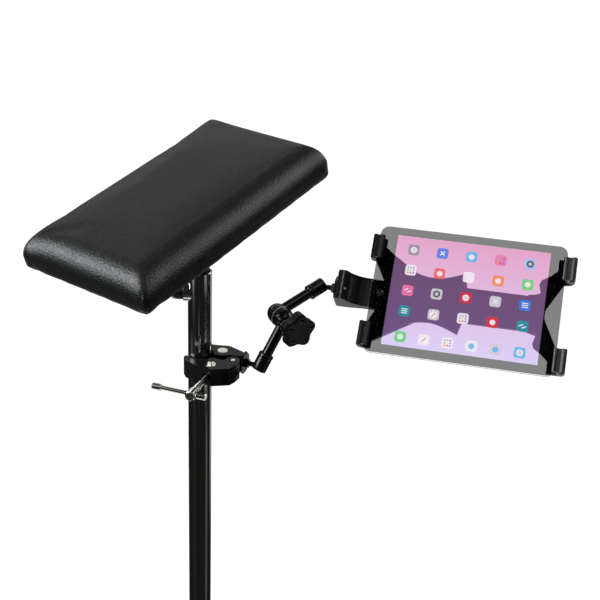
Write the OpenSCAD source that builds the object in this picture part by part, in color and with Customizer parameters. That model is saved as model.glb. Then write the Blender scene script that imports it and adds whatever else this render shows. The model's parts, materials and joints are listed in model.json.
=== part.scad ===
// Upholstered rest pad on a chromed floor post, with a clamped jointed arm that
// carries a tablet holder. Millimetres, +Z up, origin on the post axis
// at the floor. +X points to the tablet side.

/* [Base and post] */
// Diameter of the weighted base plate
base_d = 400; // [300:500]
// Thickness of the base plate
base_t = 8; // [6:12]
// Height of the rubber feet
foot_h = 6; // [4:12]
// Radius of the ring of feet
foot_circle = 172; // [120:190]
// Outside diameter of the post tube
post_d = 30; // [25:40]
// Wall of the post tube
post_wall = 2; // [1.5:3]
// Height of the tube rim above the floor
post_top = 758; // [500:900]
// Diameter of the sliding stem
stem_d = 22; // [16:24]
// Top of the stem
stem_top = 790; // [760:900]
// Height of the lock boss axis
boss_z = 728.8; // [600:740]

/* [Pad] */
// Direction of the raised end, from +X
pad_yaw = 54; // [-180:180]
// Rise of the raised end
pad_tilt = 12.4; // [0:40]
// Outside length
pad_length = 329; // [250:420]
// Outside width
pad_width = 186; // [120:240]
// Outside thickness
pad_thick = 46; // [30:70]
// Radius of the top edges
pad_edge_r = 18; // [8:24]
// Radius of the bottom edges
pad_hem_r = 10; // [3:10]
// Radius of the upright corners
pad_corner_r = 6; // [3:20]
// Pad centre from the tilt pivot, along the pad
pad_shift = -21.7; // [-60:60]
// Tilt pivot to the underside of the pad
pad_drop = 24; // [20:40]
// Height of the tilt pivot
pivot_z = 809.5; // [800:860]
// Thickness of the cover
cover_t = 1.4; // [1:3]
// Thickness of the board
board_t = 12; // [9:18]

/* [Clamp] */
// Direction of the pivot pin, from +X
clamp_yaw = -18; // [-180:180]
// Height of the middle of the jaws
clamp_z = 631; // [400:680]
// Height of the jaws
jaw_h = 24; // [20:30]
// Thickness of the rubber liners
liner_t = 3; // [2:4]
// Post axis to pivot pin
pin_x = 45; // [40:55]
// Post axis to clamp screw
screw_x = 22.8; // [20:28]
// Post axis to each barrel
barrel_y = 19.4; // [17:22]
// Radius of the barrels
barrel_r = 6.8; // [5:7]
// Clamp screw: T-bar hole from the post axis
hub_y = -77.5; // [-95:-60]
// Length of the T-bar with its caps
bar_l = 70; // [50:100]
// Middle of the T-bar from the screw axis
bar_shift = -16.5; // [-30:30]

/* [Arm] */
// Stud axis from the post axis, across the jaws
stud_y = 19.5; // [15:24]
// Middle of the first lock disc
disc_x = 52.5; // [50:56]
// Middle of a lock disc to the ball centre
stud_l = 22; // [18:30]
// Radius of the balls
ball_r = 7.2; // [6:9]
// Ball centre to elbow axis
link = 67; // [50:120]
// Radius of the arm tubes
tube_r = 6.8; // [5:9]
// Radius of the elbow heads
head_r = 13.8; // [12:17]
// Spacing of the elbow heads
head_gap = 20.5; // [18:24]
// Direction in which both tubes lie
elbow_yaw = 31.5; // [-180:180]
// Rise of the lower tube
lower_rise = 60; // [-90:90]
// Rise of the upper tube
upper_rise = 21.5; // [-90:90]
// Radius of the star knob over its lobes
knob_r = 23; // [18:28]

/* [Tablet holder] */
// Direction of the long side, from +X
holder_yaw = -11.5; // [-90:90]
// Lean of the tablet away from upright
holder_lean = 43; // [0:90]
// Second ball from the middle of the holder
ball2_x = -186; // [-200:-160]
// Second stud behind the middle of the tablet
stud2_y = 11; // [8:16]
// Outer face of the hooks
hook_x = 125.5; // [110:140]
// Lower end of an upper hook
hook_lo = 43; // [30:50]
// Upper end of an upper hook
hook_hi = 73; // [60:80]
// Front face of the left plate
plate_y = 8; // [6:12]
// Thickness of the plates
plate_t = 4; // [3:5]
// Length of the tablet
tablet_w = 236; // [230:242]
// Height of the tablet
tablet_h = 168; // [160:172]
// Thickness of the tablet
tablet_t = 7.5; // [6:8]
// Tablet middle above the holder middle
tablet_up = 3.5; // [0:6]
// Corner radius of the tablet
tablet_r = 11; // [8:14]

/* [Output] */
// Name of one sub-part, or all

/* [Hidden] */
$fn = 96;

post_r = post_d / 2;
stem_r = stem_d / 2;
base_z = foot_h;                    // underside of the base plate
floor_z = base_z + base_t;          // top of the base plate
hub_floor = floor_z + 6;            // the tube stands here
rim_r = post_r - post_wall;
jaw_r = post_r + liner_t;
hz = jaw_h / 2;
run = 0.05;                         // radial running clearance

// ---- frames ----
function turn_z(a, v) = [v[0] * cos(a) - v[1] * sin(a), v[0] * sin(a) + v[1] * cos(a), v[2]];
function tip_x(a, v) = [v[0], v[1] * cos(a) - v[2] * sin(a), v[1] * sin(a) + v[2] * cos(a)];
function along(rise) = turn_z(elbow_yaw, [cos(rise), 0, sin(rise)]);
ball1 = turn_z(clamp_yaw, [disc_x + stud_l, stud_y, 0]) + [0, 0, clamp_z];
elbow1 = ball1 + link * along(lower_rise);
elbow2 = elbow1 + turn_z(elbow_yaw, [0, head_gap, 0]);
ball2 = elbow2 + link * along(upper_rise);
holder = ball2 - turn_z(holder_yaw, tip_x(-holder_lean, [ball2_x, stud2_y, 0]));

module at_pad() { translate([0, 0, pivot_z]) rotate([0, -pad_tilt, pad_yaw]) children(); }
module at_head() { rotate([0, 0, pad_yaw]) children(); }
module at_boss() { translate([0, 0, boss_z]) rotate([0, -90, 0]) children(); }
module at_clamp() { translate([0, 0, clamp_z]) rotate([0, 0, clamp_yaw]) children(); }
module at_stud1() { at_clamp() translate([disc_x, stud_y, 0]) rotate([0, 90, 0]) children(); }
module at_link1() { translate(ball1) rotate([0, 90 - lower_rise, elbow_yaw]) children(); }
module at_link2() { translate(elbow2) rotate([0, 90 - upper_rise, elbow_yaw]) children(); }
module at_elbow() { translate(elbow1) rotate([0, 0, elbow_yaw]) children(); }
module at_holder() { translate(holder) rotate([-holder_lean, 0, holder_yaw]) children(); }
module at_stud2() {
  at_holder() translate([ball2_x + stud_l, stud2_y, 0]) rotate([0, -90, 0]) children();
}
// a cylinder along +Y between two positions
module rod_y(r, y0, y1) { translate([0, y0, 0]) rotate([-90, 0, 0]) cylinder(r = r, h = y1 - y0); }
module rod_x(r, x0, x1) { translate([x0, 0, 0]) rotate([0, 90, 0]) cylinder(r = r, h = x1 - x0); }
module pipe(ro, ri, z0, z1) {
  difference() {
    translate([0, 0, z0]) cylinder(r = ro, h = z1 - z0);
    translate([0, 0, z0 - 1]) cylinder(r = ri, h = z1 - z0 + 2);
  }
}
module slab(l, w, r, z0, z1) {      // upright plate with round corners
  for (y = [-1, 1]) for (x = [-1, 1])
    translate([x * (l / 2 - r), y * (w / 2 - r), z0]) cylinder(r = r, h = z1 - z0);
  translate([-l / 2 + r, -w / 2, z0]) cube([l - 2 * r, w, z1 - z0]);
  translate([-l / 2, -w / 2 + r, z0]) cube([l, w - 2 * r, z1 - z0]);
}

// ---- base and post ----
module base_plate() color([0.05, 0.05, 0.055]) difference() {
  rotate_extrude() polygon([[0, base_z], [base_d / 2 - 1, base_z], [base_d / 2, base_z + 1],
    [base_d / 2, floor_z - 2.5], [base_d / 2 - 0.8, floor_z - 0.8],
    [base_d / 2 - 2.5, floor_z], [0, floor_z]]);
  translate([0, 0, base_z - 1]) cylinder(r = 5.3, h = base_t + 2);
  translate([0, 0, base_z - 1]) cylinder(r = 12, h = 4);
  for (a = [0:72:288]) rotate([0, 0, a + 18]) translate([foot_circle, 0, base_z - 1])
    cylinder(r = 4, h = 5.2);
}
module base_feet() color([0.03, 0.03, 0.03]) for (a = [0:72:288])
  rotate([0, 0, a + 18]) translate([foot_circle, 0, 0]) {
    rotate_extrude() polygon([[0, 0], [14, 0], [16, 2], [16, foot_h], [0, foot_h]]);
    translate([0, 0, foot_h - 1]) cylinder(r = 3.95, h = 5);
  }
module centre_foot() color([0.03, 0.03, 0.03]) difference() {
  rotate_extrude() polygon([[0, 0], [28, 0], [30, 2], [30, foot_h], [0, foot_h]]);
  cylinder_z(9.6, foot_h - 4, foot_h + 1);
}
module base_hub() color([0.75, 0.75, 0.77]) rotate_extrude() polygon([[5.3, floor_z],
  [38, floor_z], [40, floor_z + 2], [40, floor_z + 4], [37, floor_z + 6], [25, floor_z + 8],
  [22, floor_z + 12], [20.5, floor_z + 44], [19, floor_z + 46], [post_r + run, floor_z + 46],
  [post_r + run, hub_floor], [5.3, hub_floor]]);
module base_bolt() color([0.6, 0.6, 0.62]) {
  translate([0, 0, base_z - 3.6]) cylinder(r = 8.5, h = 5, $fn = 6);
  translate([0, 0, base_z + 1.4]) cylinder(r = 10.5, h = 1.6);
  cylinder_z(4.95, base_z + 1.4, hub_floor + 20);
}
module cylinder_z(r, z0, z1) { translate([0, 0, z0]) cylinder(r = r, h = z1 - z0); }
module post_plug() color([0.5, 0.5, 0.52]) pipe(rim_r - run, 5, hub_floor, hub_floor + 28);
module post_tube() color([0.62, 0.62, 0.64]) difference() {
  rotate_extrude() polygon([[rim_r, hub_floor], [post_r, hub_floor], [post_r, post_top - 0.6],
    [post_r - 0.6, post_top], [rim_r + 0.4, post_top], [rim_r, post_top - 0.4]]);
  at_boss() cylinder(r = 3.6, h = post_r + 5);
}
module tube_bush() color([0.12, 0.12, 0.12]) difference() {
  pipe(rim_r - run, stem_r + run, post_top - 62, post_top - 14);
  at_boss() cylinder(r = 3.6, h = post_r + 5);
}
module lock_boss() color([0.75, 0.75, 0.77]) difference() {
  at_boss() {
    cylinder(r = 12, h = 19.2);
    translate([0, 0, 19.2]) cylinder(r1 = 12, r2 = 11, h = 1);
  }
  cylinder_z(post_r, boss_z - 20, boss_z + 20);
  at_boss() cylinder(r = 3.05, h = 30);
}
module height_knob() color([0.06, 0.06, 0.06]) at_boss() difference() {
  rotate_extrude() polygon([[0, 20.5], [9, 20.5], [10, 21.5], [10, 27], [9.6, 31], [8.2, 34.5],
    [5.8, 36.6], [3, 37.4], [0, 37.6]]);
  cylinder(r = 2.95, h = 32);
  for (a = [0:36:324]) rotate([0, 0, a]) translate([11.2, 0, 19]) cylinder(r = 2, h = 30);
}
module height_screw() color([0.6, 0.6, 0.62]) at_boss() {
  translate([0, 0, stem_r + 0.1]) cylinder(r1 = 2.2, r2 = 2.95, h = 1);
  translate([0, 0, stem_r + 1.1]) cylinder(r = 2.95, h = 32 - stem_r - 1.1);
}

// ---- stem and swivel head ----
module stem_rod() color([0.07, 0.07, 0.07]) difference() {
  rotate_extrude() polygon([[0, 570], [stem_r - 1, 570], [stem_r, 571], [stem_r, 575],
    [rim_r - 0.3, 575], [rim_r - 0.3, 578], [stem_r, 578], [stem_r, stem_top - 1],
    [stem_r - 1, stem_top], [0, stem_top]]);
  cylinder_z(3, stem_top - 6, stem_top + 1);
}
head_top = stem_top + 7.5;
cheek_in = 6.2;
cheek_t = 5;
cheek_r = 12;
module swivel_head() color([0.08, 0.08, 0.08]) at_head() difference() {
  union() {
    rotate_extrude() polygon([[0, stem_top - 18], [16, stem_top - 18], [17, stem_top - 17],
      [17, head_top - 1], [16, head_top], [0, head_top]]);
    for (s = [-1, 1]) translate([0, s * (cheek_in + cheek_t / 2), 0]) {
      translate([-cheek_r, -cheek_t / 2, head_top - 2])
        cube([2 * cheek_r, cheek_t, pivot_z - head_top + 2]);
      translate([0, 0, pivot_z]) rod_y(cheek_r, -cheek_t / 2, cheek_t / 2);
    }
  }
  cylinder_z(stem_r + run, stem_top - 20, stem_top + 0.1);
  translate([0, 0, pivot_z]) rod_y(4.1, -20, 20);
  translate([0, 0, stem_top - 10]) rod_x(2.5, 0, 20);
}
module swivel_screw() color([0.6, 0.6, 0.62]) at_head() difference() {
  translate([0, 0, stem_top - 10]) rod_x(2.45, stem_r + 0.1, 18.5);
  translate([16.5, 0, stem_top - 10]) rotate([0, 90, 0]) cylinder(r = 1.4, h = 5, $fn = 6);
}
module tilt_bolt() color([0.6, 0.6, 0.62]) at_head() translate([0, 0, pivot_z]) {
  rod_y(4, -26, 12.9);
  translate([0, 12.9, 0]) rotate([-90, 0, 0]) cylinder(r = 7.5, h = 5.2, $fn = 6);
}
module tilt_washers() color([0.7, 0.7, 0.72]) at_head() translate([0, 0, pivot_z])
  for (y = [-12.85, 11.25]) difference() {
    rod_y(8, y, y + 1.6);
    rod_y(4.1, y - 1, y + 3);
  }
module tilt_knob() color([0.06, 0.06, 0.06]) at_head() translate([0, 0, pivot_z])
  rotate([90, 0, 0]) difference() {
    union() {
      translate([0, 0, 12.95]) cylinder(r = 8, h = 5);
      translate([0, 0, 17.4]) cylinder(r = 16, h = 13.5);
      translate([0, 0, 30.9]) cylinder(r1 = 16, r2 = 13, h = 1.6);
    }
    translate([0, 0, 12]) cylinder(r = 4.05, h = 15);
    for (a = [0:60:300]) rotate([0, 0, a + 30]) translate([19.5, 0, 16.9])
      cylinder(r = 7, h = 20);
  }

// ---- pad ----
module cushion(l, w, h, rt, rb, rc) intersection() {
  bar_profile(l, w, h, rt, rb);
  rotate([0, 0, 90]) bar_profile(w, l, h, rt, rb);
  slab(l, w, rc, 0, h);
}
module bar_profile(l, w, h, rt, rb) {   // along X, top edges rt and bottom edges rb
  translate([-l / 2, -w / 2, rb]) cube([l, w, h - rt - rb]);
  translate([-l / 2, -w / 2 + rt, rb]) cube([l, w - 2 * rt, h - rb]);
  translate([-l / 2, -w / 2 + rb, 0]) cube([l, w - 2 * rb, rb + 1]);
  for (s = [-1, 1]) {
    translate([0, s * (w / 2 - rt), h - rt]) rod_x(rt, -l / 2, l / 2);
    translate([0, s * (w / 2 - rb), rb]) rod_x(rb, -l / 2, l / 2);
  }
}
module pad_skin() cushion(pad_length, pad_width, pad_thick, pad_edge_r, pad_hem_r, pad_corner_r);
module pad_core() translate([0, 0, cover_t]) cushion(pad_length - 2 * cover_t,
  pad_width - 2 * cover_t, pad_thick - 2 * cover_t, pad_edge_r - cover_t,
  pad_hem_r - cover_t, pad_corner_r - cover_t);
module at_cushion() { at_pad() translate([pad_shift, 0, pad_drop]) children(); }
screw_at = [[34, 24], [-34, 24], [34, -24], [-34, -24]];
module pad_cover() color([0.06, 0.06, 0.06]) at_cushion() difference() {
  pad_skin();
  pad_core();
  slab(pad_length - 56, pad_width - 56, 8, -1, cover_t + 0.5);
}
module board_slab(z0) slab(pad_length - 24, pad_width - 24, 6, z0, cover_t + board_t);
module pad_foam() color([0.85, 0.8, 0.6]) at_cushion() difference() {
  pad_core();
  board_slab(-1);
}
module pad_board() color([0.72, 0.55, 0.35]) difference() {
  at_cushion() board_slab(cover_t);
  at_pad() for (p = screw_at) translate([p[0], p[1], pad_drop + cover_t - 1])
    cylinder(r = 2.3, h = 11);
}
plate_top = pad_drop + cover_t;
module mount_plate() color([0.09, 0.09, 0.09]) at_pad() difference() {
  slab(90, 70, 8, plate_top - 4, plate_top);
  for (p = screw_at) translate([p[0], p[1], plate_top - 6]) cylinder(r = 2.6, h = 8);
}
module tilt_lug() color([0.09, 0.09, 0.09]) at_pad() difference() {
  union() {
    rod_y(10.5, -6, 6);
    translate([-10.5, -6, 0]) cube([21, 12, plate_top - 4]);
    translate([-18, -6, plate_top - 7]) cube([36, 12, 3]);
  }
  rod_y(4.1, -8, 8);
}
module mount_screws() color([0.6, 0.6, 0.62]) at_pad() for (p = screw_at)
  translate([p[0], p[1], 0]) {
    cylinder_z(2.25, plate_top - 5, plate_top + 9);
    translate([0, 0, plate_top - 6.6]) cylinder(r1 = 3.6, r2 = 4.6, h = 1);
    cylinder_z(4.6, plate_top - 5.6, plate_top - 4);
  }

// ---- clamp ----
front_outline = [[-15.2, -12.6], [-14.6, -17.4], [-8.5, -24.6], [4, -28.6], [27, -32.6],
  [30.5, -32.2], [49, -22], [52, -14], [53, -10], [54, 0], [36, 0], [34, -5], [15, -5],
  [9, -9], [-6, -10]];
rear_outline = [[-14.4, 12], [-12.8, 18.5], [-7, 24.6], [4, 27.8], [14, 29.6], [26, 32.6],
  [29, 32.2], [47, 25.6], [50.4, 23.5], [50.4, 13.5], [45, 12], [38.5, 11.5],
  [32, 8.5], [27, 5], [15, 5], [9, 9], [-6, 10]];
knuckle = 5;                        // half height of the middle knuckle
module screw_slot(y0, y1) {         // lets the screw swing in a jaw
  for (s = [-1, 1]) translate([screw_x + s * 2.2, 0, 0]) rod_y(3.6, y0, y1);
  translate([screw_x - 2.2, y0, -3.6]) cube([4.4, y1 - y0, 7.2]);
}
module clamp_body() color([0.06, 0.06, 0.062]) at_clamp() difference() {
  union() {
    translate([0, 0, -hz]) linear_extrude(jaw_h) polygon(rear_outline);
    translate([0, 0, -knuckle + 0.1]) linear_extrude(2 * knuckle - 0.2)
      polygon([[34, 9.6], [50, 13.6], [50.2, 6], [51, 1], [49, -5.5], [41, -6], [36.6, -3]]);
    translate([pin_x, 0, -knuckle + 0.1]) cylinder(r = 7.8, h = 2 * knuckle - 0.2);
  }
  cylinder_z(jaw_r, -hz - 1, hz + 1);
  translate([screw_x, barrel_y, -hz - 1]) cylinder(r = barrel_r + run, h = jaw_h + 2);
  translate([screw_x, barrel_y, hz - 0.5]) cylinder(r1 = barrel_r, r2 = barrel_r + 1, h = 1);
  screw_slot(3, 29);
  translate([screw_x, 0, 0]) rod_y(5.4, 25.4, 28.6);
  translate([pin_x, 0, -hz]) cylinder(r = 2.9, h = jaw_h);
  translate([0, stud_y, 0]) rod_x(3.15, 38, 60);
}
module rear_liner() color([0.02, 0.02, 0.02]) at_clamp() intersection() {
  pipe(jaw_r - run, post_r + run, -hz + 1, hz - 1);
  translate([-20, 10, -hz]) cube([40, 12, jaw_h]);
}
module clamp_pin() color([0.8, 0.78, 0.7]) at_clamp() translate([pin_x, 0, 0]) {
  cylinder_z(2.9, -hz - 0.3, hz);
  translate([0, 0, hz]) cylinder(r1 = 2.9, r2 = 2.4, h = 0.5);
}
module clamp_jaw() color([0.06, 0.06, 0.062]) at_clamp() difference() {
  union() {
    translate([0, 0, -hz]) linear_extrude(jaw_h) polygon(front_outline);
    for (z = [-hz, knuckle]) translate([pin_x, 0, z]) cylinder(r = 8.4, h = hz - knuckle);
  }
  cylinder_z(jaw_r, -hz - 1, hz + 1);
  translate([33.5, -11, -knuckle]) cube([40, 30, 2 * knuckle]);
  translate([screw_x, -barrel_y, -hz - 1]) cylinder(r = barrel_r + run, h = jaw_h + 2);
  translate([screw_x, -barrel_y, hz - 0.5]) cylinder(r1 = barrel_r, r2 = barrel_r + 1, h = 1);
  screw_slot(-40, 0);
  translate([42, -26.6, -hz + 4]) rotate([0, 0, 30]) cube([6.5, 3.4, jaw_h - 8]);
  translate([pin_x, 0, -hz - 1]) cylinder(r = 2.95, h = jaw_h + 2);
}
module front_liner() color([0.02, 0.02, 0.02]) at_clamp() intersection() {
  pipe(jaw_r, post_r + run, -hz + 1, hz - 1);
  translate([-20, -22, -hz]) cube([40, 12, jaw_h]);
}
module barrel(y, slot) translate([screw_x, y, 0]) difference() {
  union() {
    cylinder_z(barrel_r, -hz + 0.8, hz - 0.8);
    translate([0, 0, hz - 0.8]) cylinder(r1 = barrel_r, r2 = barrel_r - 0.4, h = 0.4);
  }
  rod_y(3.05, -10, 10);
  rotate([0, 0, 20]) translate([-0.7, -10, hz - slot]) cube([1.4, 20, 3]);
}
module rear_barrel() color([0.8, 0.78, 0.7]) at_clamp() barrel(barrel_y, 0);
module front_barrel() color([0.8, 0.78, 0.7]) at_clamp() barrel(-barrel_y, 1);
module clamp_screw() color([0.75, 0.74, 0.7]) at_clamp() translate([screw_x, 0, 0]) difference() {
  union() {
    rod_y(3, hub_y + 10, 27.6);
    rod_y(4.6, 26.4, 27.4);
    rod_y(3.9, -57, -47.4);
    rod_y(3.3, -46.8, -34);
    translate([0, -47.4, 0]) rotate([-90, 0, 0]) cylinder(r1 = 3.9, r2 = 3.3, h = 0.6);
    rod_y(4.4, hub_y + 5, -58);
    rod_y(5, -64.4, -60.6);
    translate([0, hub_y, 0]) rotate([-90, 0, 0]) rotate_extrude() polygon([[0, -6.6],
      [5.6, -6.6], [6.4, -5.8], [6.4, 6], [5.6, 7.4], [0, 7.4]]);
  }
  translate([0, hub_y, 0]) rod_x(2.85, -10, 10);
}
module t_bar() color([0.75, 0.74, 0.7]) at_clamp() translate([screw_x + bar_shift, hub_y, 0])
  rod_x(2.8, -bar_l / 2 + 1, bar_l / 2 - 1);
module t_bar_caps() color([0.75, 0.74, 0.7]) at_clamp()
  translate([screw_x + bar_shift, hub_y, 0]) for (s = [-1, 1]) mirror([s < 0 ? 1 : 0, 0, 0])
    difference() {
      union() {
        rod_x(4.4, bar_l / 2 - 11, bar_l / 2 - 0.6);
        translate([bar_l / 2 - 0.6, 0, 0]) rotate([0, 90, 0]) cylinder(r1 = 4.4, r2 = 3.8, h = 0.6);
      }
      rod_x(2.8, bar_l / 2 - 12, bar_l / 2 - 1);
    }

// ---- jointed arm: the stud frames have the ball at +Z ----
module ball_stud() {
  sphere_at = stud_l;
  cylinder_z(3.1, -13.5, 2.2);
  cylinder_z(3.1, 1.8, 6.4);
  translate([0, 0, 1.9]) cylinder(r = 6.4, h = 4.4, $fn = 6);
  translate([0, 0, 6.3]) cylinder(r1 = 5, r2 = 3.3, h = 1.6);
  cylinder_z(3.3, 7.9, sphere_at - 3);
  translate([0, 0, sphere_at]) sphere(r = ball_r);
}
module thumb_disc(r) difference() {
  rotate([0, 0, 22.5]) {
    translate([0, 0, -1.3]) cylinder(r = r + 0.6, h = 2.6, $fn = 8);
    for (m = [0, 1]) mirror([0, 0, m]) translate([0, 0, 1.3])
      cylinder(r1 = r + 0.6, r2 = r - 0.2, h = 0.5, $fn = 8);
  }
  cylinder_z(3.15, -3, 3);
}
module stud_1() color([0.05, 0.05, 0.05]) at_stud1() ball_stud();
module lock_disc_1() color([0.06, 0.06, 0.06]) at_stud1() thumb_disc(14);
// a socket along +Z around the ball at the origin, slotted towards azimuth a
module ball_socket(a) difference() {
  rotate_extrude() polygon([[0, -5.8], [8.9, -5.8], [9.5, -5.2], [9.5, 12], [9, 12.5],
    [9, 13.1], [9.8, 13.7], [9.8, 16.6], [9.2, 17.4], [7.4, 17.8], [0, 17.8]]);
  sphere(r = ball_r + run);
  cylinder_z(6.3, -8, -2);
  cylinder_z(3.6, 0, 12);
  cylinder_z(tube_r + run, 11, 30);
  rotate([0, 0, a]) translate([0, -3.7, -8]) cube([14, 7.4, 11]);
  rotate([0, 0, a]) translate([0, 0, 3]) rod_x(3.7, 0, 14);
}
module arm_tube() difference() {
  pipe(tube_r, 5, 11, link - 3);
  translate([0, 0, link]) domed_head(0);
}
// a head across Y at the origin: flat face at y = 10.2, rounded towards -Y
function arc(cx, cy, rx, ry, a0, a1, n) =
  [for (i = [0:n]) let(a = a0 + (a1 - a0) * i / n) [cx + rx * cos(a), cy + ry * sin(a)]];
module domed_head(bore) rotate([-90, 0, 0]) rotate_extrude() polygon(concat(
  [[bore, 10.2], [head_r - 0.5, 10.2], [head_r, 9.7], [head_r, 8.6], [head_r - 0.5, 8.1]],
  arc(5.6, 4, head_r - 6.1, 13.6, 0, -90, 9), [[bore, -9.6]]));
module elbow_head() domed_head(4.05);
module push_rod() {
  translate([0, 0, 7.6]) cylinder(r1 = 2.4, r2 = 3.3, h = 1);
  cylinder_z(3.3, 8.6, link - head_r - 1);
}
module socket_1() color([0.06, 0.06, 0.06]) at_link1() ball_socket(126.5);
module tube_1() color([0.06, 0.06, 0.06]) at_link1() arm_tube();
module push_rod_1() color([0.6, 0.6, 0.62]) at_link1() push_rod();
module elbow_head_1() color([0.06, 0.06, 0.06]) at_elbow() elbow_head();
module elbow_bolt() color([0.6, 0.6, 0.62]) at_elbow() {
  rod_y(4, -31, head_gap + 9.7);
  translate([0, head_gap + 9.7, 0]) rotate([-90, 0, 0]) cylinder(r1 = 6.5, r2 = 5, h = 2.6);
}
function star(mean, wave) = [for (i = [0:59]) let(a = i * 6)
  (mean + wave * cos(5 * (a - 84))) * [cos(a), sin(a)]];
module star_layer(mean, wave, z0, z1) {
  translate([0, 0, z0]) linear_extrude(z1 - z0) polygon(star(mean, wave));
}
module star_knob() color([0.05, 0.05, 0.05]) at_elbow() rotate([90, 0, 0]) difference() {
  union() {
    rotate_extrude() polygon([[0, 9.65], [7, 9.65], [7.6, 10.2], [7.6, 14], [8.2, 15],
      [8.2, 19], [9.4, 20.4], [15.2, 24.4], [15.2, 26], [0, 26]]);
    star_layer(knob_r - 4.2, 2.2, 23.6, 25.4);
    star_layer(knob_r - 2.6, 2.6, 25, 36);
    star_layer(knob_r - 3.4, 2.5, 35.8, 37.2);
    star_layer(knob_r - 4.8, 2.3, 37, 38.2);
  }
  cylinder_z(4.05, 5, 31.5);
  for (a = [84:72:372]) rotate([0, 0, a]) translate([15, 0, 39.4]) sphere(r = 3.2, $fn = 48);
}
module elbow_head_2() color([0.06, 0.06, 0.06]) at_elbow() translate([0, head_gap, 0])
  mirror([0, 1, 0]) elbow_head();
module at_back() { at_link2() translate([0, 0, link]) rotate([180, 0, 0]) children(); }
module tube_2() color([0.06, 0.06, 0.06]) at_back() arm_tube();
module socket_2() color([0.06, 0.06, 0.06]) at_back() ball_socket(68.5);
module push_rod_2() color([0.6, 0.6, 0.62]) at_back() push_rod();

// ---- tablet holder: X along the long side, Y to the back, Z up the short side ----
module stud_2() color([0.05, 0.05, 0.05]) at_stud2() ball_stud();
module lock_disc_2() color([0.06, 0.06, 0.06]) at_stud2() thumb_disc(15);
bracket_lo = -20.5;
bracket_hi = 17.5;
tab_y = plate_y + plate_t;
module bracket() color([0.05, 0.05, 0.05]) at_holder() difference() {
  union() {
  translate([0, 0, bracket_lo]) linear_extrude(bracket_hi - bracket_lo) polygon([
    [-162.1, -8], [-161, -13], [-158.6, -15], [-152, -15], [-150.2, -14], [-148.6, -10],
    [-146, -5.4], [-142.5, -1.2], [-138, 2.2], [-133, 4.8], [-127, 6.6], [-118.6, 7.4],
    [-118.6, tab_y + 0.1], [-95, tab_y + 0.1], [-95, tab_y + 4.6], [-126, tab_y + 4.6],
    [-148, 20], [-160, 20], [-162.1, 18]]);
    translate([0, 0, bracket_lo + 1]) linear_extrude(bracket_hi - bracket_lo - 2)
      polygon([[-155.4, -14], [-155, -16], [-154.2, -16.4], [-153.4, -16], [-153, -14]]);
    translate([0, 0, bracket_lo]) linear_extrude(bracket_hi - bracket_lo)
      polygon([[-121.4, 8], [-121, 6], [-120.2, 5.4], [-119.2, 5.6], [-118.7, 6.2], [-118.7, 8]]);
    for (z = [bracket_lo, bracket_hi - 1.5]) translate([0, -1.3, z]) linear_extrude(1.5)
      polygon([[-150, -11.4], [-148.6, -10], [-146, -5.4], [-142.5, -1.2], [-138, 2.2],
        [-133, 4.8], [-127, 6.6], [-120, 7.3], [-120, 10], [-148, 10]]);
  }
  translate([0, stud2_y, 0]) rod_x(3.15, -170, -148);
  translate([-108, 0, 0]) rod_y(2.6, 0, 30);
  translate([-99.5, 0, 0]) rod_y(1.35, 0, 30);
  translate([-149.6, 0, -6.5]) rod_y(1.6, -17, -9.6);
}
module bracket_pin() color([0.8, 0.78, 0.7]) at_holder() {
  translate([-99.5, 0, 0]) rod_y(1.3, plate_y - 0.8, tab_y + 3);
  translate([-149.6, 0, -6.5]) rod_y(1.55, -14.6, -9.6);
}
module bracket_bolt() color([0.12, 0.12, 0.12]) at_holder() translate([-108, 0, 0]) {
  rod_y(2.5, plate_y - 1, tab_y + 10);
  rod_y(5.2, plate_y - 2.4, plate_y);
  translate([0, plate_y - 3.4, 0]) rotate([-90, 0, 0]) cylinder(r1 = 4, r2 = 5.2, h = 1.1);
}
module bracket_nut() color([0.6, 0.6, 0.62]) at_holder() translate([-108, 0, 0]) difference() {
  translate([0, tab_y + 4.6, 0]) rotate([-90, 0, 0]) cylinder(r = 4.6, h = 4, $fn = 6);
  rod_y(2.55, 0, 40);
}
left_up = [[1.5, 0], [0.8, 19], [-4.5, 40], [-13, 36.6], [-22, 33.2], [-31, 30.6],
  [-40, 29.4], [-50, 29.8], [-59, 31.4], [-68, 34.6], [-76, 38.6], [-92, 50], [-108, 62],
  [-118, 70], [-119.8, 70], [-119.8, 44], [-105, 17.5], [-118, 17.5]];
left_down = [[-118, -20.5], [-110.5, -21.5], [-119.8, -44], [-119.8, -70], [-118, -70],
  [-108, -62], [-92, -50], [-76, -38.6], [-68, -34.6], [-59, -31.4], [-50, -29.8],
  [-40, -29.4], [-31, -30.6], [-22, -33.2], [-13, -36.6], [-4.5, -40], [0.8, -19]];
right_half = [[97, 0], [100, 8], [117.6, 41], [127.6, 42.8], [127.6, 46], [119.8, 70],
  [118, 70], [112, 62], [100, 50.5], [90, 44], [88, 38.6], [91, 27], [84, 24.2], [76, 23]];
right_down = [[76, -23], [84, -24.2], [91, -27], [88, -38.6], [90, -44], [100, -50.5],
  [110, -59.5], [113, -60.6], [119.8, -66], [127.6, -48], [127.6, -45], [117.6, -43], [100, -8]];
module upright(outline, y, t) {     // an outline in X and Z, from y to y + t
  translate([0, y + t, 0]) rotate([90, 0, 0]) linear_extrude(t) polygon(outline);
}
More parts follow.
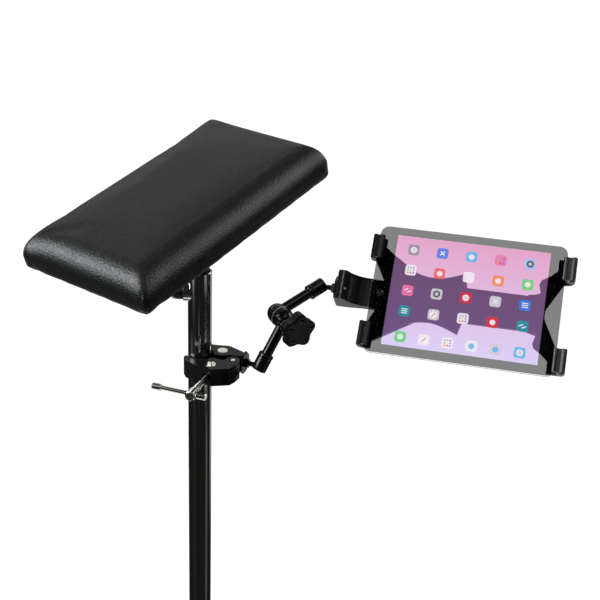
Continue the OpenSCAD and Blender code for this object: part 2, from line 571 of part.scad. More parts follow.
module hook_body(s) {               // one hook, between hook_lo and hook_hi
  w = s > 0 ? 4.5 : 0;              // the outer rib stands further out on the right
  v = s > 0 ? 3 : 0;                // and its front lip is shorter
  translate([0, 0, hook_lo]) linear_extrude(hook_hi - hook_lo) polygon([
    [s * (110.5 + v), -7.2], [s * (111.4 + v), -8.8], [s * (112.8 + v), -9.4], [s * 117.4, -9.4],
    [s * 118.4, -8.6], [s * 119, -7.4], [s * (119.6 + w * 0.7), -7.4],
    [s * (120.2 + w * 0.7), -9], [s * (121.6 + w), -10], [s * (123.8 + w), -9.6],
    [s * (125.2 + w), -7.8], [s * (125.8 + w), -5], [s * (125.6 + w), 4],
    [s * (124.6 + w), 8.6], [s * (122.4 + w * 0.8), 11.2], [s * 119.6, plate_y + plate_t],
    [s * 108.5, plate_y + plate_t], [s * 108.5, 5.6], [s * 120.4, 5.6],
    [s * 120.4, -5.4], [s * 114.4, -5.4], [s * (113.2 + v * 0.4), -4.6], [s * (111.2 + v * 0.9), -5.2]]);
}
module below(s) translate([0, 0, s > 0 ? -2 : 0]) mirror([0, 0, 1]) children();
module hook(s) difference() {
  hook_body(s);
  for (z = [hook_lo, hook_hi]) translate([s * (s > 0 ? 127 : 122.8), -2, z]) {
    cylinder_z(1.6, -1.4, 1.4);
    translate([0, -3.6, 0]) cylinder_z(1.3, -1.4, 1.4);
  }
}
module hook_peg(s, z) translate([s * (s > 0 ? 126 : 122.6), -4.2, z]) {
  cylinder_z(2.5, 0, 1);
  translate([0, 0, -0.5]) cylinder(r1 = 2, r2 = 2.5, h = 0.5);
}
module hooks(s) {
  hook(s);
  below(s) hook(s);
  hook_peg(s, hook_lo - 0.7);
  hook_peg(s, -hook_hi - 0.7 + (s > 0 ? -2 : 0));
}
module liner(s) translate([0, 0, hook_lo + 0.5]) linear_extrude(hook_hi - hook_lo - 1) polygon([
  [s * 114.6, -5.4], [s * 120.4, -5.4], [s * 120.4, 5.6], [s * 109.5, 5.6],
  [s * 109.5, 4], [s * 118.6, 4], [s * 118.6, -3.9], [s * 114.6, -3.9]]);
module hook_liner(s) {
  liner(s);
  below(s) liner(s);
}
module plate_left() color([0.05, 0.05, 0.05]) at_holder() difference() {
  union() {
    upright(concat(left_up, left_down), plate_y, plate_t);
    hooks(-1);
    for (s = [-1, 1]) translate([-64, tab_y - 0.1, s > 0 ? 23.4 : -27.4]) cube([60, 4.3, 4]);
    for (s = [-1, 1]) arm_rib([[-112, 64], [-60, 27.6]], s);
    front_rib([-113, 62], [-62, 29]);
    front_rib([-117, 43], [-104, 20]);
    front_rib([-62, -29], [-113, -62]);
  }
  translate([-108, 0, 0]) rod_y(2.6, 0, 30);
  translate([-99.5, 0, 0]) rod_y(1.35, 0, 30);
  translate([-40, 0, 0]) rod_y(2.1, 0, 30);
  translate([-40, plate_y, 0]) rotate([90, 0, 0]) translate([0, 0, -1.9])
    cylinder(r1 = 2.1, r2 = 4.1, h = 2);
}
module arm_rib(p, s) mirror([0, 0, s < 0 ? 1 : 0]) intersection() {
  upright([[p[0][0], p[0][1] - 3], [p[0][0], p[0][1]], [p[1][0], p[1][1] + 3],
    [p[1][0], p[1][1]]], tab_y - 0.1, 4.1);
  translate([-200, 0, 0]) cube([400, 40, 100]);
}
module front_rib(a, b) {            // a low rib on the front face, from a to b
  n = [b[1] - a[1], a[0] - b[0]] / norm(b - a);
  upright([a, b, b - 1.6 * n, a - 1.6 * n], plate_y - 0.7, 0.8);
}
module left_hook_liners() color([0.02, 0.02, 0.02]) at_holder() hook_liner(-1);
module slide_screw() color([0.2, 0.2, 0.2]) at_holder() translate([-40, 0, 0]) {
  rod_y(2, plate_y + 1, tab_y + 12);
  translate([0, plate_y + 0.2, 0]) rotate([-90, 0, 0]) cylinder(r1 = 3.8, r2 = 2, h = 1.8);
}
module slide_nut() color([0.05, 0.05, 0.05]) at_holder() translate([-40, 0, 0]) difference() {
  union() {
    rod_y(6, tab_y + 4.5, tab_y + 7);
    rod_y(9, tab_y + 7, tab_y + 12.5);
  }
  rod_y(2.05, 0, 40);
  for (a = [0:30:330]) rotate([0, a, 0]) translate([10, 0, 0]) rod_y(1.6, tab_y, 40);
}
module plate_right() color([0.05, 0.05, 0.05]) at_holder() difference() {
  union() {
    upright([[-88, -23], [-88, 23], [76, 23], [91, 27], [99, 20], [99, -20], [91, -27],
      [76, -23]], tab_y + 0.2, plate_t);
    upright(concat(right_half, right_down), plate_y, plate_t + 0.3);
    hooks(1);
    for (m = [0, 1]) mirror([0, 0, m]) {
      front_rib([99, 11], [115, 41]);
      front_rib([96, 13], [112, 43]);
    }
  }
  for (x = [-80, -34]) translate([x, 0, 0]) rod_y(2.3, 0, 30);
  translate([-80, 0, -2.3]) cube([46, 30, 4.6]);
}
module right_hook_liners() color([0.02, 0.02, 0.02]) at_holder() hook_liner(1);

// ---- tablet ----
module at_tablet() { at_holder() translate([0, 0, tablet_up]) rotate([90, 0, 0]) children(); }
module tablet_shell() color([0.45, 0.45, 0.46]) at_tablet() difference() {
  union() {
    slab(tablet_w, tablet_h, tablet_r, -1.5, tablet_t / 2 - 1);
    slab(tablet_w - 3, tablet_h - 3, tablet_r - 1.5, -3, 0);
    slab(tablet_w - 7, tablet_h - 7, tablet_r - 3.5, -tablet_t / 2, 0);
  }
  translate([-95, -72.1, tablet_t / 2 - 1.8]) cube([192, 145.4, 2]);
}
module tablet_display() color([0.85, 0.6, 0.78]) at_tablet()
  translate([-95, -72.1, tablet_t / 2 - 1.8]) cube([192, 145.4, 0.8]);
module tablet_glass() color([0.5, 0.5, 0.5]) at_tablet()
  slab(tablet_w - 1.2, tablet_h - 1.2, tablet_r - 0.6, tablet_t / 2 - 1, tablet_t / 2);

base_plate();
base_feet();
centre_foot();
base_hub();
base_bolt();
post_plug();
post_tube();
tube_bush();
lock_boss();
height_knob();
height_screw();
stem_rod();
swivel_head();
swivel_screw();
tilt_bolt();
tilt_washers();
tilt_knob();
mount_plate();
tilt_lug();
mount_screws();
pad_board();
pad_foam();
pad_cover();
clamp_body();
rear_liner();
clamp_pin();
clamp_jaw();
front_liner();
rear_barrel();
front_barrel();
clamp_screw();
t_bar();
t_bar_caps();
stud_1();
lock_disc_1();
socket_1();
tube_1();
elbow_head_1();
push_rod_1();
elbow_bolt();
star_knob();
elbow_head_2();
tube_2();
socket_2();
push_rod_2();
stud_2();
lock_disc_2();
bracket();
bracket_pin();
bracket_bolt();
bracket_nut();
plate_left();
left_hook_liners();
slide_screw();
slide_nut();
plate_right();
right_hook_liners();
tablet_shell();
tablet_display();
tablet_glass();
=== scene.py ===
"""Padded rest stand with tablet holder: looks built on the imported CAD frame."""

import json
import math

import bpy
import numpy as np
from mathutils import Matrix, Vector


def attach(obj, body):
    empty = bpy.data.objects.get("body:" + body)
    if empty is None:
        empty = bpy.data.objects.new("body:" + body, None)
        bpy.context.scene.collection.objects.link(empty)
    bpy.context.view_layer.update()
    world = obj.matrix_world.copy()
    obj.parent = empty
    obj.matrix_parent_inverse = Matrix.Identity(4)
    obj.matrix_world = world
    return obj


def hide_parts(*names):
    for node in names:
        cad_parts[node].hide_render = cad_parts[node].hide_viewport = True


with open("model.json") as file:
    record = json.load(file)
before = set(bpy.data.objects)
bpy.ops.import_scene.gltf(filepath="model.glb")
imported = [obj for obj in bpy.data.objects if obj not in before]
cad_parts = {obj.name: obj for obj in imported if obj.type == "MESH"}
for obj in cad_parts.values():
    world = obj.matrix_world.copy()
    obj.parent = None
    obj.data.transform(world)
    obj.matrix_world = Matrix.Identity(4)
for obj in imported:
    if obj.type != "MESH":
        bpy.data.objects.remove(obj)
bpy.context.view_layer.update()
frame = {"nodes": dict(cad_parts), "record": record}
nodes = frame["nodes"]
mm = 0.001

# ---------------------------------------------------------------- helpers
def rot(axis, deg):
    return Matrix.Rotation(math.radians(deg), 4, axis)


def point(x, y, z):
    """A point given in millimetres."""
    return Vector((x * mm, y * mm, z * mm))


def shift(x, y, z):
    return Matrix.Translation(point(x, y, z))


# ---------------------------------------------------------------- camera
CAMERA_AT = (0.1232, -1.2721, 1.3440)
CAMERA_TILT = 64                    # degrees up from straight down
CAMERA_ROLL = 2.4285                # degrees about the line of sight
LENS, SENSOR = 69, 36               # millimetres

cam_data = bpy.data.cameras.new("camera")
cam_data.lens = LENS
cam_data.sensor_width = SENSOR
cam_data.clip_end = 100
cam = bpy.data.objects.new("camera", cam_data)
bpy.context.scene.collection.objects.link(cam)
cam.matrix_world = Matrix.Translation(CAMERA_AT) @ rot("X", CAMERA_TILT) @ rot("Z", CAMERA_ROLL)
bpy.context.scene.camera = cam

# ---------------------------------------------------------------- local frames, in millimetres and degrees
TILT_PIVOT = (0, 0, 809.5)
PAD_TURN, PAD_TILT = 54, -12.4
PAD_FROM_PIVOT = (-21.7, 0, 24)     # middle of the pad's underside
CLAMP_AT, CLAMP_TURN = (0, 0, 631), -18
BALL_FROM_POST = (74.5, 19.5, 0)
LINK = 67                           # from a ball to the elbow
ARM_TURN, LOWER_RISE, UPPER_RISE = 31.5, 60, 21.5
ELBOW_STEP = 20.5                   # from the front elbow head to the back one
HOLDER_PAN, HOLDER_TILT = -11.5, -43
BALL_IN_HOLDER = (-186, 11, 0)
TABLET_RISE = 3.5                   # from the holder's origin to the tablet's middle


def link_dir(rise):
    a = math.radians(rise)
    return rot("Z", ARM_TURN).to_3x3() @ Vector((math.cos(a), 0, math.sin(a)))


PAD = shift(*TILT_PIVOT) @ rot("Z", PAD_TURN) @ rot("Y", PAD_TILT) @ shift(*PAD_FROM_PIVOT)
CLAMP = shift(*CLAMP_AT) @ rot("Z", CLAMP_TURN)
ball_1 = CLAMP @ point(*BALL_FROM_POST)
elbow_1 = ball_1 + link_dir(LOWER_RISE) * LINK * mm
elbow_2 = elbow_1 + rot("Z", ARM_TURN).to_3x3() @ point(0, ELBOW_STEP, 0)
ball_2 = elbow_2 + link_dir(UPPER_RISE) * LINK * mm
holder_turn = rot("Z", HOLDER_PAN) @ rot("X", HOLDER_TILT)
HOLDER = Matrix.Translation(ball_2 - holder_turn.to_3x3() @ point(*BALL_IN_HOLDER)) @ holder_turn
TX, TY, TZ = (HOLDER.to_3x3() @ Vector(v) for v in ((1, 0, 0), (0, 1, 0), (0, 0, 1)))
TABLET = HOLDER @ shift(0, 0, TABLET_RISE)


# ---------------------------------------------------------------- materials
class Mat:
    """A node material with a few helpers. Textures are placed by object coordinates, in metres."""
    def __init__(self, name):
        self.m = bpy.data.materials.new(name)
        self.m.use_nodes = True
        self.t = self.m.node_tree
        self.b = self.t.nodes.get("Principled BSDF")
        self.out = self.t.nodes.get("Material Output")
        self.coord = self.t.nodes.new("ShaderNodeTexCoord").outputs["Object"]

    def link(self, a, b):
        self.t.links.new(a, b)

    def noise(self, scale, detail, rough, stretch=None):
        n = self.t.nodes.new("ShaderNodeTexNoise")
        n.inputs["Scale"].default_value = scale
        n.inputs["Detail"].default_value = detail
        n.inputs["Roughness"].default_value = rough
        src = self.coord
        if stretch:
            mp = self.t.nodes.new("ShaderNodeMapping")
            mp.inputs["Scale"].default_value = stretch
            self.link(src, mp.inputs["Vector"])
            src = mp.outputs["Vector"]
        self.link(src, n.inputs["Vector"])
        return n.outputs["Fac"]

    def voronoi(self, scale):
        n = self.t.nodes.new("ShaderNodeTexVoronoi")
        n.inputs["Scale"].default_value = scale
        self.link(self.coord, n.inputs["Vector"])
        return n.outputs["Distance"]

    def span(self, value, a0, a1, b0, b1, smooth=False):
        n = self.t.nodes.new("ShaderNodeMapRange")
        if smooth:
            n.interpolation_type = "SMOOTHSTEP"
        for k, v in zip(("From Min", "From Max", "To Min", "To Max"), (a0, a1, b0, b1)):
            n.inputs[k].default_value = v
        self.link(value, n.inputs["Value"])
        return n.outputs["Result"]

    def drift(self, scale, detail, rough, low=0, high=1):
        """Noise spread out so that it runs between two values."""
        return self.span(self.noise(scale, detail, rough), 0.3, 0.7, low, high)

    def math(self, op, a, b=None):
        n = self.t.nodes.new("ShaderNodeMath")
        n.operation = op
        for k, v in enumerate((a, b)):
            if v is None:
                continue
            if isinstance(v, (int, float)):
                n.inputs[k].default_value = v
            else:
                self.link(v, n.inputs[k])
        return n.outputs[0]

    def mix(self, fac, a, b):
        n = self.t.nodes.new("ShaderNodeMix")
        n.data_type = "RGBA"
        self.link(fac, n.inputs["Factor"])
        for k, v in ((6, a), (7, b)):
            if isinstance(v, (tuple, list)):
                n.inputs[k].default_value = (*v[:3], 1)
            else:
                self.link(v, n.inputs[k])
        return n.outputs[2]

    def along(self, origin, axis):
        """Distance along an axis from a point, in metres."""
        s = self.t.nodes.new("ShaderNodeVectorMath")
        s.operation = "SUBTRACT"
        self.link(self.coord, s.inputs[0])
        s.inputs[1].default_value = tuple(origin)
        d = self.t.nodes.new("ShaderNodeVectorMath")
        d.operation = "DOT_PRODUCT"
        self.link(s.outputs[0], d.inputs[0])
        d.inputs[1].default_value = tuple(axis)
        return d.outputs["Value"]

    def bump(self, height, distance, strength=1.0, under=None):
        n = self.t.nodes.new("ShaderNodeBump")
        n.inputs["Distance"].default_value = distance
        n.inputs["Strength"].default_value = strength
        self.link(height, n.inputs["Height"])
        if under:
            self.link(under, n.inputs["Normal"])
        return n.outputs["Normal"]

    def set(self, color=None, rough=None, metal=None, normal=None, **sockets):
        b = self.b
        main = {"Base Color": color, "Roughness": rough, "Metallic": metal, "Normal": normal}
        for key, v in main.items():
            if v is None:
                continue
            if isinstance(v, (tuple, list)):
                b.inputs[key].default_value = (*v[:3], 1)
            elif isinstance(v, (int, float)):
                b.inputs[key].default_value = v
            else:
                self.link(v, b.inputs[key])
        for key, v in sockets.items():
            b.inputs[key.replace("_", " ")].default_value = v
        return self.m


PATCH = 60                          # scale of the slow drift in a finish
PLASTIC = ((0.0075, 0.0078, 0.0085), (0.013, 0.0135, 0.0145))
ANODISED = ((0.005, 0.005, 0.0055), (0.008, 0.008, 0.0085))


def surface(name, tones, rough, grain, depth, strength, **sockets):
    """Colour that drifts between two tones, roughness that drifts with it, and a fine grain."""
    m = Mat(name)
    color = m.mix(m.drift(PATCH, 4, 0.55), *tones)
    fine = m.noise(grain, 2, 0.6)
    return m.set(color, m.drift(PATCH * 2.3, 5, 0.6, *rough), 0.0, m.bump(fine, depth, strength), **sockets)


def leather():
    m = Mat("cover_leather")
    cells = m.voronoi(560)
    pebbles = m.span(cells, 0.0, 0.8, 1, 0, True)
    pores = m.noise(1900, 2, 0.5)
    soft = m.noise(38, 4, 0.5)
    height = m.math("ADD", pebbles, m.math("MULTIPLY", pores, 0.45))
    fine = m.bump(height, 0.0003, 0.62)
    normal = m.bump(soft, 0.0012, 0.10, fine)
    color = m.mix(m.drift(24, 5, 0.6), (0.0082, 0.0090, 0.0084), (0.0118, 0.0126, 0.0117))
    # darker where the pebbles meet: painted shade in the grain's crevices
    color = m.mix(m.span(cells, 0.35, 0.8, 0, 0.5), color, (0.005, 0.005, 0.005))
    return m.set(color, m.drift(60, 4, 0.6, 0.315, 0.365), 0.0, normal, Specular_IOR_Level=0.5)


def plywood():
    m = Mat("plywood")
    grain = m.noise(30, 6, 0.6, stretch=(1.0, 9.0, 9.0))
    fibre = m.noise(420, 3, 0.6, stretch=(0.15, 1.0, 1.0))
    color = m.mix(m.span(grain, 0.3, 0.7, 0, 1), (0.035, 0.024, 0.015), (0.065, 0.046, 0.03))
    color = m.mix(m.span(fibre, 0.4, 0.75, 0, 0.5), color, (0.02, 0.013, 0.008))
    return m.set(color, m.span(grain, 0.3, 0.7, 0.55, 0.75), 0.0, m.bump(fibre, 0.0002, 0.5))


def knob_plastic():
    m = Mat("black_plastic")
    grain = m.noise(1400, 3, 0.65)
    color = m.mix(m.drift(45, 4, 0.6), *PLASTIC)
    return m.set(color, m.drift(160, 4, 0.6, 0.24, 0.36), 0.0, m.bump(grain, 0.00005, 0.45))


def chrome(name, tone, rough):
    m = Mat(name)
    smear = m.noise(28, 5, 0.6, stretch=(1, 1, 0.25))
    color = m.mix(m.span(smear, 0.3, 0.7, 0, 1), tuple(c * 0.93 for c in tone), tone)
    r = m.span(m.noise(90, 4, 0.6, stretch=(1, 1, 0.3)), 0.3, 0.75, rough, rough * 1.9)
    fine = m.noise(600, 2, 0.5, stretch=(1, 1, 0.05))
    return m.set(color, r, 1.0, m.bump(fine, 0.000002, 0.25))


def brushed(name, tone, rough):
    m = Mat(name)
    lines = m.noise(700, 3, 0.6, stretch=(1, 1, 0.2))
    color = m.mix(m.drift(80, 4, 0.6), tuple(c * 0.82 for c in tone), tone)
    return m.set(color, m.span(lines, 0.3, 0.7, *rough), 1.0, m.bump(lines, 0.00001, 0.3))


def foam():
    m = Mat("foam")
    cell = m.voronoi(900)
    color = m.mix(m.span(cell, 0.1, 0.6, 0, 1), (0.8, 0.74, 0.55), (0.55, 0.48, 0.33))
    return m.set(color, 0.9, 0.0, m.bump(cell, 0.0006, 0.8))


SCREEN_HALF = 0.074                 # about half the lit picture's height, metres


def ghost(name, through, glow=None, through_low=None, glow_low=None, gloss=0.01):
    """A see-through face: what lies behind is tinted by `through`, and `glow` is added.
    With the two low tones, both change from the bottom of the tablet to its top."""
    m = Mat(name)
    t = m.t
    clear = t.nodes.new("ShaderNodeBsdfTransparent")
    t.nodes.remove(m.b)
    shader = clear.outputs[0]
    up = m.span(m.along(TABLET.translation, TZ), -SCREEN_HALF, SCREEN_HALF, 0, 1)
    speck = m.noise(260, 3, 0.6)
    if through_low:
        m.link(m.mix(up, through_low, through), clear.inputs[0])
    else:
        m.link(m.mix(speck, tuple(c * 0.985 for c in through), through), clear.inputs[0])
    if glow:
        light = t.nodes.new("ShaderNodeEmission")
        m.link(m.mix(up, glow_low or glow, glow), light.inputs[0])
        add = t.nodes.new("ShaderNodeAddShader")
        m.link(shader, add.inputs[0])
        m.link(light.outputs[0], add.inputs[1])
        shader = add.outputs[0]
    shine = t.nodes.new("ShaderNodeBsdfGlossy")
    shine.inputs["Color"].default_value = (0.9, 0.9, 0.9, 1)
    m.link(m.span(speck, 0.3, 0.7, 0.05, 0.1), shine.inputs["Roughness"])
    fres = t.nodes.new("ShaderNodeLayerWeight")
    fres.inputs["Blend"].default_value = gloss
    both = t.nodes.new("ShaderNodeMixShader")
    m.link(fres.outputs["Fresnel"], both.inputs[0])
    m.link(shader, both.inputs[1])
    m.link(shine.outputs[0], both.inputs[2])
    m.link(both.outputs[0], m.out.inputs["Surface"])
    m.m.surface_render_method = "BLENDED"
    return m.m


def painted_highlight_line(m, place, at, full, gone, breakup):
    """How much a narrow painted highlight shows: 1 within `full` of its place, 0 beyond `gone`, broken up
    by noise.
    """
    off = m.math("ABSOLUTE", m.math("SUBTRACT", place, at))
    return m.math("MULTIPLY", m.span(off, full, gone, 1, 0, True), breakup)


# painted highlights on the bracket's ridge and seam: place in x and how far back in y they reach, in
# metres, and their tone
PAINTED_EDGE_HIGHLIGHTS = ((-0.1542, -0.0146, 0.60), (-0.1201, 0.0072, 0.40))


def bracket_plastic():
    """Black plastic, with painted highlights along the ridge and the seam."""
    m = Mat("bracket_plastic")
    grain = m.noise(1400, 3, 0.65)
    x, y = m.along(HOLDER.translation, TX), m.along(HOLDER.translation, TY)
    breakup = m.span(m.noise(230, 3, 0.6), 0.3, 0.6, 0.35, 1)
    color = m.mix(m.drift(45, 4, 0.6), (0.0055, 0.0055, 0.006), (0.0095, 0.0095, 0.01))
    # painted highlights: pale lines along the ridge and the seam
    for at, limit, tone in PAINTED_EDGE_HIGHLIGHTS:
        line = m.math("MULTIPLY", painted_highlight_line(m, x, at, 0.0004, 0.0011, breakup), m.math("LESS_THAN", y, limit))
        color = m.mix(line, color, (tone, tone, tone * 0.96))
    rough = m.drift(160, 4, 0.6, 0.26, 0.38)
    return m.set(color, rough, 0.0, m.bump(grain, 0.00005, 0.45), Specular_IOR_Level=0.25)


def painted_rim_highlights(name, tones, rough, bands):
    """Black finish with painted highlights on narrow bands round the elbow axis.
    Each band is its distance from the front head, its half width and its tone."""
    m = Mat(name)
    color = m.mix(m.drift(45, 4, 0.6), *tones)
    place = m.along(elbow_1, (elbow_2 - elbow_1).normalized())
    breakup = m.span(m.noise(260, 3, 0.6), 0.32, 0.6, 0.3, 1)
    # each band is a painted highlight, a pale ring round the axis
    for at, half, tone in bands:
        line = painted_highlight_line(m, place, at, half * 0.6, half * 1.3, breakup)
        color = m.mix(line, color, (tone, tone, tone * 0.95))
    grain = m.noise(1400, 3, 0.65)
    return m.set(color, m.drift(160, 4, 0.6, *rough), 0.0, m.bump(grain, 0.00004, 0.4))


POWDER = ((0.012, 0.012, 0.013), (0.018, 0.018, 0.019))
RUBBER = ((0.012, 0.012, 0.012), (0.02, 0.02, 0.02))
CAST = ((0.005, 0.005, 0.0055), (0.009, 0.009, 0.0095))

M = {
    "powder_coated_steel": surface("powder_coated_steel", POWDER, (0.42, 0.55), 900, 0.00008, 0.5),
    "dark_chrome": chrome("dark_chrome", (0.50, 0.49, 0.47), 0.05),
    "bright_chrome": chrome("bright_chrome", (0.72, 0.72, 0.72), 0.06),
    "zinc_steel": brushed("zinc_steel", (0.6, 0.6, 0.57), (0.22, 0.34)),
    "nickel_brass": brushed("nickel_brass", (0.95, 0.92, 0.83), (0.05, 0.13)),
    "black_anodised": surface("black_anodised", ANODISED, (0.14, 0.24), 1700, 0.00002, 0.3),
    "black_plastic": knob_plastic(),
    "black_rubber": surface("black_rubber", RUBBER, (0.65, 0.8), 1000, 0.00008, 0.4),
    "cover_leather": leather(),
    "foam": foam(),
    "plywood": plywood(),
    "tablet_grey": ghost("tablet_grey", (0.96, 0.96, 0.96), gloss=0.03),
    "bezel": ghost("bezel", (0.225, 0.225, 0.225)),
    "display": ghost("display", (0.625, 0.309, 0.434), (0.143, 0.067, 0.144),
                     (0.56, 0.54, 0.69), (0.152, 0.088, 0.22)),
    "tablet_glass": ghost("tablet_glass", (1.0, 1.0, 1.0), gloss=0.02),
}
cast = surface("cast_black", CAST, (0.26, 0.38), 1100, 0.00006, 0.45, Specular_IOR_Level=0.3)
special = {                         # nodes whose look differs from their material's
    # painted highlights: the elbow head's lip and two rims of the star knob
    "elbow_head_1": painted_rim_highlights("elbow_black", ANODISED, (0.14, 0.24), ((0.0093, 0.0008, 0.85),)),
    "star_knob": painted_rim_highlights("knob_black", PLASTIC, (0.24, 0.36),
                        ((-0.0248, 0.0006, 0.80), (-0.0206, 0.0005, 0.60))),
    "clamp_body": cast,
    "clamp_jaw": cast,
    "lock_disc_1": cast,
    "lock_disc_2": cast,
    "bracket": bracket_plastic(),
    "bracket_pin": brushed("dull_pin", (0.30, 0.28, 0.21), (0.3, 0.42)),
}
SHARP = 32                          # degrees; an edge sharper than this isn't shaded smooth
slot_of = {s["node"]: s["material_slot"] for s in frame["record"]["subparts"]}
for name, o in nodes.items():
    o.data.materials.clear()
    o.data.materials.append(special.get(name) or M[slot_of[name]])
    for p in o.data.polygons:
        p.use_smooth = True
    mod = o.modifiers.new("edges", "EDGE_SPLIT")
    mod.split_angle = math.radians(SHARP)


# ---------------------------------------------------------------- pieces
def new_object(name, verts, faces, material, body, smooth=True):
    """A mesh piece that rides a body and has one material slot."""
    me = bpy.data.meshes.new(name)
    me.from_pydata([tuple(v) for v in verts], [], faces)
    me.update()
    me.materials.append(material)
    if smooth:
        for p in me.polygons:
            p.use_smooth = True
    o = bpy.data.objects.new(name, me)
    bpy.context.scene.collection.objects.link(o)
    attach(o, body)
    return o


# ---- the pad cover, in millimetres in the pad's own frame
L, W, H = 329.0, 186.0, 46.0        # outside
RB = 10.0                           # radius of the bottom edges
R_NEAR, R_FAR = 29.0, 14.0          # top edges: near end and near side, far end and far side
ARC, ROWS_DOWN, HEM = 9, 6, 5       # rows round the top edge, down the side and round the bottom edge
TUCKED = ((13, 0.0), (18, 0.0), (23, 0.0), (27, 0.0), (28, 0.4), (28.2, 1.2))   # rows underneath
CROWN = 0.6                         # rise of the top's middle
SWELL, SINK = 2.4, 1.6              # the cover starts this much further in at each side and lower
REACH = 5.0                         # the furthest that the cloth may move a point
CLOTH_SHARE = 0.45                  # how much of the swollen shape's difference is kept
CLOTH_FRAMES = 26
EASE, EASE_ROUNDS = 0.6, 12         # share of the way to its neighbours' mean, and how many times
FIRST_STEP, STEP_GROWTH, LONGEST_STEP = 1.5, 1.2, 4.4    # spacing of the top's grid, from its edges inwards
EDGE_BAND = 20                      # about a rounded edge's width, left out when the top's grid is spaced
CORNER_TOP, CORNER_SIDE = 2.0, 5.0  # corner radius in plan, on the top and down the sides
MITRE = 32.0                        # half the width over which the heights of two sides blend at a corner
DRAW_IN = 1.6                       # of the far long side, between its corners
LEFT_FULL, FAR_FULL, NEAR_FULL = 5.0, 2.4, 2.0           # how far the corners stand out along x
SIDE_FULL, FAR_LIFT = 2.0, 0.8      # and along y, and how much the far corners rise
FOLD_WIDE, FOLD_DEEP = 1.0, 3.0     # the pleat at a corner
LIP_OFF, LIP_WIDE, LIP_HIGH = 2.4, 1.6, 0.7              # the lip beside it


def spaced(half):
    """Positions from -1 to 1, close together near both ends."""
    pos, x, step = [], 0.0, FIRST_STEP
    while x < half:
        pos.append(x)
        step = min(LONGEST_STEP, step * STEP_GROWTH)
        x += step
    left = [-1 + p / pos[-1] for p in pos]
    return left[:-1] + [0.0] + [-p for p in reversed(left[:-1])]


def row_of(k, r):
    """Inset and height of row k of the skirt, where the top edge has radius r."""
    if k <= ARC:
        a = math.radians(90 * (1 - k / ARC))
        return r * (1 - math.cos(a)), H - r * (1 - math.sin(a))
    k -= ARC
    if k <= ROWS_DOWN:
        return 0.0, H - r - (H - r - RB) * k / ROWS_DOWN
    k -= ROWS_DOWN
    if k <= HEM:
        a = math.radians(90 * k / HEM)
        return RB * (1 - math.cos(a)), RB * (1 - math.sin(a))
    return TUCKED[k - HEM - 1]


def cover_mesh():
    """The cover's points and faces: a grid on top, and rows of skirt that run down and underneath."""
    us, ws = spaced(L / 2 - EDGE_BAND), spaced(W / 2 - EDGE_BAND)
    nx, ny = len(us), len(ws)
    r = {(0, -1): R_NEAR, (0, 1): R_FAR, (1, -1): R_NEAR, (1, 1): R_FAR}

    def place(u, w, k):
        """A point of row k at (u, w) in -1..1, with its own edge radius on each side."""
        got = {key: row_of(k, r[key]) for key in r}
        x0, x1 = -L / 2 + got[0, -1][0], L / 2 - got[0, 1][0]
        y0, y1 = -W / 2 + got[1, -1][0], W / 2 - got[1, 1][0]
        x, y = x0 + (x1 - x0) * (u + 1) / 2, y0 + (y1 - y0) * (w + 1) / 2
        ix, iy = min(x - x0, x1 - x), min(y - y0, y1 - y)
        zx, zy = got[0, 1 if u > 0 else -1][1], got[1, 1 if w > 0 else -1][1]
        t = 0.5 + 0.5 * max(-1.0, min(1.0, (ix - iy) / MITRE))
        t = t * t * (3 - 2 * t)
        rc = CORNER_TOP + (CORNER_SIDE - CORNER_TOP) * min(1.0, k / ARC)
        ax, ay = rc - ix, rc - iy
        if ax > 0 and ay > 0:                                 # square to round in plan
            cx, cy = (x1 - rc if u > 0 else x0 + rc), (y1 - rc if w > 0 else y0 + rc)
            f = max(ax, ay) / math.hypot(ax, ay)
            x, y = cx + (x - cx) * f, cy + (y - cy) * f
        return x, y, zx * (1 - t) + zy * t

    verts, faces = [place(u, w, 0) for w in ws for u in us], []
    ring = [(i, 0) for i in range(nx)] + [(nx - 1, j) for j in range(1, ny)]
    ring += [(i, ny - 1) for i in range(nx - 2, -1, -1)] + [(0, j) for j in range(ny - 2, 0, -1)]
    for j in range(ny - 1):
        for i in range(nx - 1):
            a = j * nx + i
            faces.append((a, a + 1, a + nx + 1, a + nx))
    last = [j * nx + i for i, j in ring]
    n = len(ring)
    for k in range(1, ARC + ROWS_DOWN + HEM + len(TUCKED) + 1):
        now = list(range(len(verts), len(verts) + n))
        verts += [place(us[i], ws[j], k) for i, j in ring]
        for m in range(n):
            faces.append((last[m], now[m], now[(m + 1) % n], last[(m + 1) % n]))
        last = now
    return verts, faces


def smooth_step(x, a, b):
    t = np.clip((x - a) / (b - a), 0, 1)
    return t * t * (3 - 2 * t)


def relax(p, edges, weight):
    """Evens out the mitre that the flat-cut corners leave."""
    count = np.bincount(edges.ravel(), minlength=len(p))[:, None]
    for _ in range(EASE_ROUNDS):
        near = np.zeros_like(p)
        np.add.at(near, edges[:, 0], p[edges[:, 1]])
        np.add.at(near, edges[:, 1], p[edges[:, 0]])
        p = p + (near / count - p) * weight[:, None] * EASE
    return p


def corner_weight(x, y, wide=34):
    return smooth_step(np.abs(x), L / 2 - wide, L / 2 - 6) * smooth_step(np.abs(y), W / 2 - wide, W / 2 - 6)


